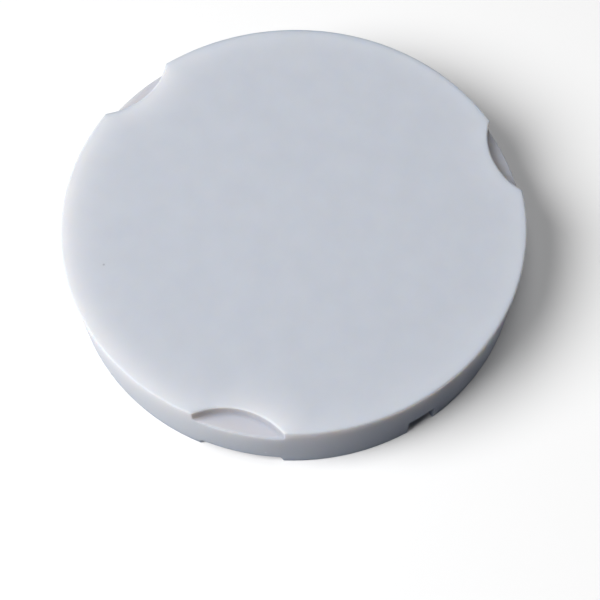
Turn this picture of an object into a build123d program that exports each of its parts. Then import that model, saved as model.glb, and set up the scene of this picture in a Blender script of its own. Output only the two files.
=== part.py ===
"""Dental milling disc: a round resin blank, 95 mm across and 16 mm thick, in one piece.

Three half-moon pockets are milled into the top of the rim, and three shallower ones lie
straight below them in the underside. What is left between each pair is a lug of the rim,
11 mm thick, that the clamps of a milling machine's holder grip. One rectangular slot in
the lower rim sets which way round the disc goes into its holder.

The origin is the middle of the underside, Z is the axis of the disc, and one pair of
pockets faces -Y. Lengths are in millimetres and angles in degrees.
"""
from build123d import *

import os

# The turned blank
DISC_DIAMETER = 95.0
DISC_THICKNESS = 16.0

# The half-moon pockets: one round cutter with a rounded nose sinks them all, coming in
# from outside the rim
POCKET_COUNT = 3
FIRST_POCKET_ANGLE = -90.0
CUTTER_RADIUS = 15.0
CUTTER_NOSE_RADIUS = 0.6
TOP_POCKET_REACH = 3.85
TOP_POCKET_DEPTH = 3.0
BOTTOM_POCKET_REACH = 3.4
BOTTOM_POCKET_DEPTH = 2.0

# The slot, an eighth of a turn from the first pocket
SLOT_ANGLE = FIRST_POCKET_ANGLE + 45.0
SLOT_WIDTH = 6.0
SLOT_HEIGHT = 5.3
SLOT_REACH = 5.5

# The upper edges are broken wider than those of the underside and the slot
UPPER_EDGE_RADIUS = 0.4
LOWER_EDGE_RADIUS = 0.2

disc_radius = DISC_DIAMETER / 2
disc_middle = DISC_THICKNESS / 2
ledge_height = DISC_THICKNESS - TOP_POCKET_DEPTH


def cutter_places(reach):
    """Axes of the round cutter where it reaches this far in from the rim."""
    return PolarLocations(disc_radius + CUTTER_RADIUS - reach, POCKET_COUNT, FIRST_POCKET_ANGLE)


def outer_edges(part, lowest, highest):
    """Edges of the top face, the underside and the rim whose middle is between these heights.

    The seam, where the rim's round face closes on itself, is left out.
    """
    top_face = part.faces().sort_by(Axis.Z)[-1]
    underside = part.faces().sort_by(Axis.Z)[0]
    rim = part.faces().filter_by(GeomType.CYLINDER).sort_by(SortBy.AREA)[-1]
    seam = rim.edges().filter_by(Axis.Z).sort_by(SortBy.LENGTH)[-1]
    edges = top_face.edges() + underside.edges() + rim.edges()
    edges = edges.filter_by(lambda edge: not edge.is_same(seam))
    return edges.filter_by_position(Axis.Z, lowest, highest)


# The cutter standing with its rounded nose down at the ledge, and nose up at the lug's foot
with BuildPart() as top_cutter:
    with BuildSketch(Plane.XY.offset(ledge_height)):
        Circle(CUTTER_RADIUS)
    extrude(amount=2 * TOP_POCKET_DEPTH)
    fillet(top_cutter.edges().group_by(Axis.Z)[0], CUTTER_NOSE_RADIUS)

with BuildPart() as bottom_cutter:
    with BuildSketch(Plane.XY.offset(BOTTOM_POCKET_DEPTH)):
        Circle(CUTTER_RADIUS)
    extrude(amount=-2 * BOTTOM_POCKET_DEPTH)
    fillet(bottom_cutter.edges().group_by(Axis.Z)[-1], CUTTER_NOSE_RADIUS)

with BuildPart() as milling_disc:
    with BuildSketch():
        Circle(disc_radius)
    extrude(amount=DISC_THICKNESS)

    with cutter_places(TOP_POCKET_REACH):
        add(top_cutter.part, mode=Mode.SUBTRACT)
    with cutter_places(BOTTOM_POCKET_REACH):
        add(bottom_cutter.part, mode=Mode.SUBTRACT)

    # The slot is open to the rim and to the underside
    with BuildSketch():
        with PolarLocations(disc_radius, 1, SLOT_ANGLE):
            Rectangle(2 * SLOT_REACH, SLOT_WIDTH)
    extrude(amount=SLOT_HEIGHT, mode=Mode.SUBTRACT)

    fillet(outer_edges(milling_disc, disc_middle, DISC_THICKNESS), UPPER_EDGE_RADIUS)
    fillet(outer_edges(milling_disc, 0, disc_middle), LOWER_EDGE_RADIUS)

milling_disc.part.label = "milling_disc"
os.makedirs("parts", exist_ok=True)
export_step(milling_disc.part, "parts/milling_disc.step")
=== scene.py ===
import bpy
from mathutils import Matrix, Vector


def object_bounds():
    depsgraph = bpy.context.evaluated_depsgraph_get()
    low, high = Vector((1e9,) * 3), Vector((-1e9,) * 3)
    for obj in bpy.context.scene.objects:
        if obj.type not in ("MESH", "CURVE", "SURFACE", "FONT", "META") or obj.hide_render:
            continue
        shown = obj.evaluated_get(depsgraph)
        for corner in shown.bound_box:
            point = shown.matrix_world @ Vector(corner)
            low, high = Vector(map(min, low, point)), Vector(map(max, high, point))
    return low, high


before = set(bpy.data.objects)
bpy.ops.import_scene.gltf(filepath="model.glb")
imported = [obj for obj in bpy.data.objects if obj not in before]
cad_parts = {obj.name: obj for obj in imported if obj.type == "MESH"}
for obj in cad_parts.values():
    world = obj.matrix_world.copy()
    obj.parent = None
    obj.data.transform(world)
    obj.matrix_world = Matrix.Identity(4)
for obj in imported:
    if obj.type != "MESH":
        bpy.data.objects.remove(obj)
cad_box = [list(corner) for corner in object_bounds()]

import math
from collections import namedtuple

import bpy
from mathutils import Matrix, Vector

# Lengths are in metres, and turns in degrees from -Y towards +X
MM = 0.001

# The camera looks down on the disc from a little to the right of -Y, through a lens of
# this focal length in millimetres
CAMERA_LENS = 65.12
CAMERA_TARGET = Vector((4.79, -15.25, 8.0)) * MM
CAMERA_DISTANCE = 221.9 * MM
CAMERA_TURN = 14.08
CAMERA_ELEVATION = 64.02
CAMERA_ROLL = -1.48
CAMERA_NEAREST = 10.0 * MM

# Round lamps that aim at the disc from this far: turn, elevation, diameter, and power in
# watts. Hardly any light comes from elsewhere.
LAMP_DISTANCE = 1.6
LAMPS = {
    "key": (-59, 42, 1.2, 33.6),
    "overhead": (-60, 85, 0.7, 5.5),
    "rim": (132, 25, 0.7, 3.4),
}
WORLD_COLOR = (0.01, 0.01, 0.01, 1.0)

# The floor is pale to the eye, and returns little light to the disc
FLOOR_SIZE = 4.0
FLOOR_COLOR = (0.95, 0.95, 0.95, 1.0)
FLOOR_BOUNCE = (0.06, 0.08, 0.13, 1.0)
FLOOR_ROUGHNESS = 0.8

# The origin is on the disc's axis, so the box gives its radius and thickness. The pockets
# in its rim are round, and reach this far in.
NODE = "milling_disc"
DISC_RADIUS = cad_box[1][0]
DISC_THICKNESS = cad_box[1][2]
POCKET_TURNS = (0, 120, 240)
POCKET_RADIUS = 15.0 * MM
POCKET_REACH = 3.85 * MM

# The resin is slightly cloudy, rougher where it is clearer, and finely grained
DENSE_COLOR = (0.53, 0.56, 0.62, 1.0)
CLEAR_COLOR = (0.57, 0.60, 0.66, 1.0)
CLOUD_SIZE = 5.0 * MM
CLOUD_DETAIL = 3.0
ROUGHNESS = (0.45, 0.65)
GRAIN_SIZE = 0.4 * MM
GRAIN_DETAIL = 2.0
GRAIN_HEIGHT = 0.004 * MM

# Light goes into the resin and scatters, red the furthest and blue the least
SCATTER_WEIGHT = 1.0
SCATTER_SCALE = 6.0 * MM
SCATTER_RADIUS = (1.0, 0.8, 0.6)
SPECULAR_LEVEL = 0.2
REFRACTIVE_INDEX = 1.49

# Painted glow: the top's colour is painted lighter along its outline, and the walls'
# colour lighter towards the top, standing in for light scattered through the resin
PAINTED_GLOW_COLOR = (0.82, 0.83, 0.86, 1.0)
PAINTED_GLOW_REACH_INWARDS = 2.8 * MM
PAINTED_GLOW_REACH_DOWN = 8.0 * MM

# The painted glow follows the lamp side. How lit a wall is depends on the cosine of the
# angle between this turn and the way the wall faces. The top's painted glow is weaker
# beside an unlit wall, and also in a narrow strip beside a lit one, which is bright by
# itself.
LIT_TURN = -75
UNLIT_TO_LIT = (0.0, 0.6)
UNLIT_LOSS = 0.6
STRIP_REACH = 1.0 * MM
STRIP_LOSS = 0.8

# Painted shade in the pockets: their colour is darker and takes no painted glow. The margins
# take in a pocket's wall, and leave out the rim between an upper pocket and the one below.
POCKET_SHADE_COLOR = (0.56, 0.56, 0.60, 1.0)
POCKET_MARGIN = 0.05 * MM
RIM_MARGIN = 0.1 * MM

# A dark speck in the top and a pale mark in the rim: place and colour
MARK_REACH = 0.35 * MM
MARKS = (
    (Vector((-34.3, -19.8, 16.0)) * MM, (0.34, 0.36, 0.42, 1.0)),
    (Vector((5.1, -47.2, 4.2)) * MM, (0.80, 0.82, 0.86, 1.0)),
)


def direction(turn, elevation=0.0):
    """Unit vector from the axis of the disc towards this turn and elevation."""
    turn, elevation = math.radians(turn), math.radians(elevation)
    level = math.cos(elevation)
    return Vector((math.sin(turn) * level, -math.cos(turn) * level, math.sin(elevation)))


def place_facing(thing, target, towards, distance, roll=0.0):
    """Put a camera or lamp at this distance from the target, looking back at it."""
    place = Matrix.Translation(target + distance * towards)
    aim = towards.to_track_quat("Z", "Y").to_matrix().to_4x4()
    thing.matrix_world = place @ aim @ Matrix.Rotation(math.radians(roll), 4, "Z")
    bpy.context.scene.collection.objects.link(thing)


def add_camera():
    data = bpy.data.cameras.new("camera")
    data.lens = CAMERA_LENS
    data.clip_start = CAMERA_NEAREST
    camera = bpy.data.objects.new("camera", data)
    towards = direction(CAMERA_TURN, CAMERA_ELEVATION)
    place_facing(camera, CAMERA_TARGET, towards, CAMERA_DISTANCE, CAMERA_ROLL)
    bpy.context.scene.camera = camera


def add_lamps():
    for name, (turn, elevation, diameter, power) in LAMPS.items():
        data = bpy.data.lights.new(name, "AREA")
        data.shape = "DISK"
        data.size = diameter
        data.energy = power
        lamp = bpy.data.objects.new(name, data)
        place_facing(lamp, Vector(), direction(turn, elevation), LAMP_DISTANCE)


def add_world():
    world = bpy.data.worlds.new("studio")
    world.use_nodes = True
    world.node_tree.nodes["Background"].inputs["Color"].default_value = WORLD_COLOR
    bpy.context.scene.world = world


def in_use(sockets):
    """The inputs or outputs that a node's settings leave in use."""
    return [socket for socket in sockets if socket.enabled]


class Nodes:
    """A material's node tree, with short calls that add nodes and link them."""

    def __init__(self, name):
        self.material = bpy.data.materials.new(name)
        self.material.use_nodes = True
        self.tree = self.material.node_tree

    def feed(self, socket, value):
        """Link an input to another node's output, or set it to a value."""
        if isinstance(value, bpy.types.NodeSocket):
            self.tree.links.new(value, socket)
        else:
            socket.default_value = value

    def shade(self, inputs):
        """Feed these inputs of the material's shader."""
        shader = self.tree.nodes["Principled BSDF"]
        for name, value in inputs.items():
            self.feed(shader.inputs[name], value)

    def add(self, kind, inputs=(), **settings):
        """Add a node, and feed its inputs by name or number."""
        node = self.tree.nodes.new(kind)
        for name, value in settings.items():
            setattr(node, name, value)
        for socket, value in dict(inputs).items():
            self.feed(node.inputs[socket], value)
        return node

    def result(self, kind, inputs, **settings):
        """Add a node, and return its first output in use."""
        return in_use(self.add(kind, inputs, **settings).outputs)[0]

    def math(self, operation, *values):
        return self.result("ShaderNodeMath", enumerate(values), operation=operation)

    def vector_math(self, operation, *values):
        return self.result("ShaderNodeVectorMath", enumerate(values), operation=operation)

    def z_of(self, vector):
        return self.add("ShaderNodeSeparateXYZ", {"Vector": vector}).outputs["Z"]

    def noise(self, place, size, detail):
        """Soft random patches of about this size, from 0 to 1."""
        inputs = {"Vector": place, "Scale": 1.0 / size, "Detail": detail}
        return self.result("ShaderNodeTexNoise", inputs)

    def map_range(self, value, before, after, **settings):
        """The value moved from the range before to the range after, and kept inside it."""
        sockets = ("Value", "From Min", "From Max", "To Min", "To Max")
        inputs = zip(sockets, (value, *before, *after))
        return self.result("ShaderNodeMapRange", inputs, **settings)

    def fade(self, distance, reach):
        """1 at no distance, and steadily less further on."""
        return self.math("EXPONENT", self.math("DIVIDE", distance, -reach))

    def spot(self, place, center, reach):
        """1 in the middle of a soft round spot, and 0 beyond its reach."""
        distance = self.vector_math("DISTANCE", place, center)
        return self.map_range(
            distance, (0.0, reach), (1.0, 0.0), interpolation_type="SMOOTHSTEP")

    def mix(self, factor, first, second):
        """The first colour where the factor is 0, and the second where it is 1."""
        node = self.add("ShaderNodeMix", data_type="RGBA")
        for socket, value in zip(in_use(node.inputs), (factor, first, second)):
            self.feed(socket, value)
        return in_use(node.outputs)[0]


# How far in from a wall a place is, and which way the wall faces there
Wall = namedtuple("Wall", ("distance", "outwards"))


def rim_wall(nodes, flat):
    return Wall(nodes.math("SUBTRACT", DISC_RADIUS, nodes.vector_math("LENGTH", flat)), flat)


def pocket_wall(nodes, flat, turn):
    """The wall of a pocket. In the pocket itself the distance is below 0."""
    center = (DISC_RADIUS + POCKET_RADIUS - POCKET_REACH) * direction(turn)
    to_center = nodes.vector_math("SUBTRACT", center, flat)
    distance = nodes.math("SUBTRACT", nodes.vector_math("LENGTH", to_center), POCKET_RADIUS)
    return Wall(distance, to_center)


def painted_wall_glow(nodes, wall, upwards):
    """Painted glow in from one wall. Upwards is 1 on the top face and 0 on the walls."""
    distance = nodes.math("MAXIMUM", wall.distance, 0.0)
    outwards = nodes.vector_math("NORMALIZE", wall.outwards)
    facing = nodes.vector_math("DOT_PRODUCT", outwards, direction(LIT_TURN))
    unlit = nodes.map_range(facing, UNLIT_TO_LIT, (upwards, 0.0))
    lit = nodes.math("SUBTRACT", upwards, unlit)
    painted_glow = nodes.fade(distance, PAINTED_GLOW_REACH_INWARDS)
    painted_glow = nodes.math("MULTIPLY", painted_glow, nodes.math("MULTIPLY_ADD", unlit, -UNLIT_LOSS, 1.0))
    strip = nodes.math("MULTIPLY", nodes.fade(distance, STRIP_REACH), lit)
    return nodes.math("MULTIPLY_ADD", strip, -STRIP_LOSS, painted_glow)


def painted_glow_mask(nodes, walls, height):
    """Painted glow: 1 along the outline of the top face, and less further in or down."""
    normal = nodes.add("ShaderNodeTexCoord").outputs["Normal"]
    upwards = nodes.math("MAXIMUM", nodes.z_of(normal), 0.0)
    painted_glow = 0.0
    for wall in walls:
        painted_glow = nodes.math("MAXIMUM", painted_glow, painted_wall_glow(nodes, wall, upwards))
    depth = nodes.math("SUBTRACT", DISC_THICKNESS, height)
    return nodes.math("MULTIPLY", painted_glow, nodes.fade(depth, PAINTED_GLOW_REACH_DOWN))


def pocket_shade_mask(nodes, rim, pockets):
    """1 in the pockets, which get painted shade, and 0 on the other faces."""
    nearest = DISC_RADIUS
    for pocket in pockets:
        nearest = nodes.math("MINIMUM", nearest, pocket.distance)
    in_pocket = nodes.math("LESS_THAN", nearest, POCKET_MARGIN)
    behind_rim = nodes.math("GREATER_THAN", rim.distance, RIM_MARGIN)
    return nodes.math("MULTIPLY", in_pocket, behind_rim)


def resin_material():
    nodes = Nodes("disc_resin")
    place = nodes.add("ShaderNodeTexCoord").outputs["Object"]
    flat = nodes.vector_math("MULTIPLY", place, (1.0, 1.0, 0.0))
    rim = rim_wall(nodes, flat)
    pockets = [pocket_wall(nodes, flat, turn) for turn in POCKET_TURNS]
    painted_glow = painted_glow_mask(nodes, [rim, *pockets], nodes.z_of(place))
    cloud = nodes.noise(place, CLOUD_SIZE, CLOUD_DETAIL)
    grain = nodes.noise(place, GRAIN_SIZE, GRAIN_DETAIL)

    color = nodes.mix(cloud, DENSE_COLOR, CLEAR_COLOR)
    # Painted glow: lighter colour towards the outline and on the lamp side
    color = nodes.mix(painted_glow, color, PAINTED_GLOW_COLOR)
    # Painted shade in the pockets, which also takes their painted glow away
    color = nodes.mix(pocket_shade_mask(nodes, rim, pockets), color, POCKET_SHADE_COLOR)
    for center, mark_color in MARKS:
        color = nodes.mix(nodes.spot(place, center, MARK_REACH), color, mark_color)

    nodes.shade({
        "Base Color": color,
        "Roughness": nodes.map_range(cloud, (0.0, 1.0), ROUGHNESS),
        "Normal": nodes.result("ShaderNodeBump", {"Height": grain, "Distance": GRAIN_HEIGHT}),
        "Subsurface Weight": SCATTER_WEIGHT,
        "Subsurface Radius": SCATTER_RADIUS,
        "Subsurface Scale": SCATTER_SCALE,
        "Specular IOR Level": SPECULAR_LEVEL,
        "IOR": REFRACTIVE_INDEX,
    })
    return nodes.material


def dress_disc():
    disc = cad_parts[NODE]
    disc.data.materials.clear()
    disc.data.materials.append(resin_material())


def floor_material():
    nodes = Nodes("floor")
    path = nodes.add("ShaderNodeLightPath").outputs
    seen = nodes.math("MAXIMUM", path["Is Camera Ray"], path["Is Glossy Ray"])
    seen = nodes.math("MAXIMUM", seen, path["Is Transmission Ray"])
    color = nodes.mix(seen, FLOOR_BOUNCE, FLOOR_COLOR)
    nodes.shade({"Base Color": color, "Roughness": FLOOR_ROUGHNESS})
    return nodes.material


def add_floor():
    bpy.ops.mesh.primitive_plane_add(size=FLOOR_SIZE)
    floor = bpy.context.object
    floor.name = "floor"
    floor.data.materials.append(floor_material())


add_camera()
add_lamps()
add_world()
add_floor()
dress_disc()
bpy.context.scene.view_settings.view_transform = "Standard"
